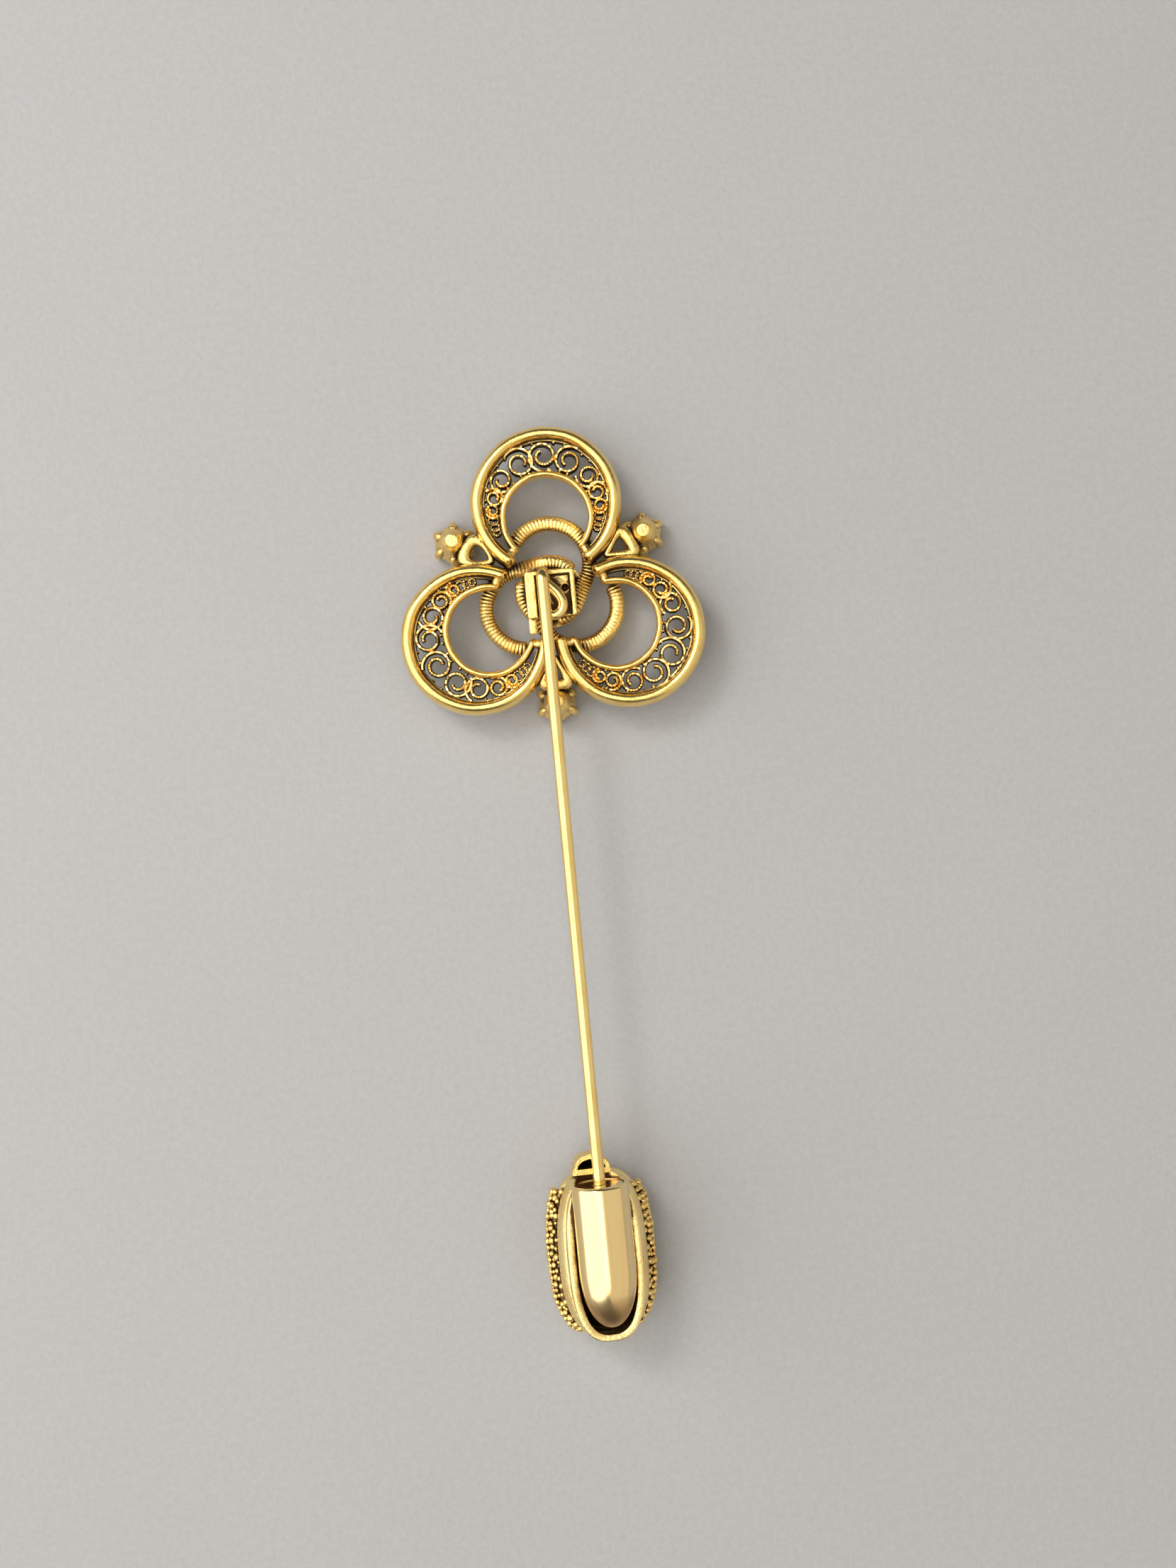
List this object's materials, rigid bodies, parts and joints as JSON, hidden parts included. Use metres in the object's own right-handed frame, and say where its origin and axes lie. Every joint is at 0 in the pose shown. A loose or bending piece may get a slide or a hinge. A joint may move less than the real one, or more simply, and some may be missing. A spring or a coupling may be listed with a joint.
{
  "type": "jabot pin",
  "caption": "Stick pin with a pierced trefoil filigree head, claw-set stones, a long pointed stem and a sliding bullet clutch held in a cast ornament.",
  "frame": {"origin": "centre of the underside of the pin's bounding box, lying with its front down", "axes": "+Y along the stem towards the head, +Z out of the back of the pin, +X to the right seen from the back"},
  "size_m": [0.0258, 0.0764, 0.0098],
  "materials": {
    "bright_gold": "gold plated, bright on edges with brown patina in the recesses",
    "antique_gold": "antiqued gold plate, cast and slightly rough",
    "pale_gold": "pale gold plate, drawn and polished",
    "dark_stone": "polished dark faceted glass stone"
  },
  "bodies": {
    "head": {"outer_rim_1": "bright_gold", "inner_rim_1": "bright_gold", "knot_arm_1": "antique_gold", "bracket_1": "bright_gold", "crown_setting_1": "bright_gold", "stone_1": "dark_stone", "scroll_1_1": "antique_gold", "scroll_1_2": "antique_gold", "scroll_1_3": "antique_gold", "scroll_1_4": "antique_gold", "scroll_1_5": "antique_gold", "scroll_1_6": "antique_gold", "scroll_1_7": "antique_gold", "scroll_1_8": "antique_gold", "scroll_1_9": "antique_gold", "outer_rim_2": "bright_gold", "inner_rim_2": "bright_gold", "knot_arm_2": "antique_gold", "bracket_2": "bright_gold", "crown_setting_2": "bright_gold", "stone_2": "dark_stone", "scroll_2_1": "antique_gold", "scroll_2_2": "antique_gold", "scroll_2_3": "antique_gold", "scroll_2_4": "antique_gold", "scroll_2_5": "antique_gold", "scroll_2_6": "antique_gold", "scroll_2_7": "antique_gold", "scroll_2_8": "antique_gold", "scroll_2_9": "antique_gold", "outer_rim_3": "bright_gold", "inner_rim_3": "bright_gold", "knot_arm_3": "antique_gold", "bracket_3": "bright_gold", "crown_setting_3": "bright_gold", "stone_3": "dark_stone", "scroll_3_1": "antique_gold", "scroll_3_2": "antique_gold", "scroll_3_3": "antique_gold", "scroll_3_4": "antique_gold", "scroll_3_5": "antique_gold", "scroll_3_6": "antique_gold", "scroll_3_7": "antique_gold", "scroll_3_8": "antique_gold", "scroll_3_9": "antique_gold", "hub_boss": "bright_gold", "hub_plate": "bright_gold", "pin_stem": "bright_gold"},
    "grip": {"clutch_grip_sleeve": "pale_gold"},
    "clutch": {"clutch_shell": "pale_gold", "clutch_mouth_washer": "pale_gold", "ornament_shell": "bright_gold", "ornament_beading_left": "antique_gold", "ornament_beading_right": "antique_gold", "ornament_finial": "bright_gold"}
  },
  "joints": [
    {"name": "clutch_slide", "type": "slide", "parent": "head", "child": "grip", "axis": [0, -1, 0], "range_m": [-0.0025, 0.012]},
    {"name": "clutch_turn", "type": "hinge", "parent": "grip", "child": "clutch", "pos_m": [-0.00042, -0.02504, 0.00743], "axis": [0, 1, 0], "continuous": true}
  ]
}
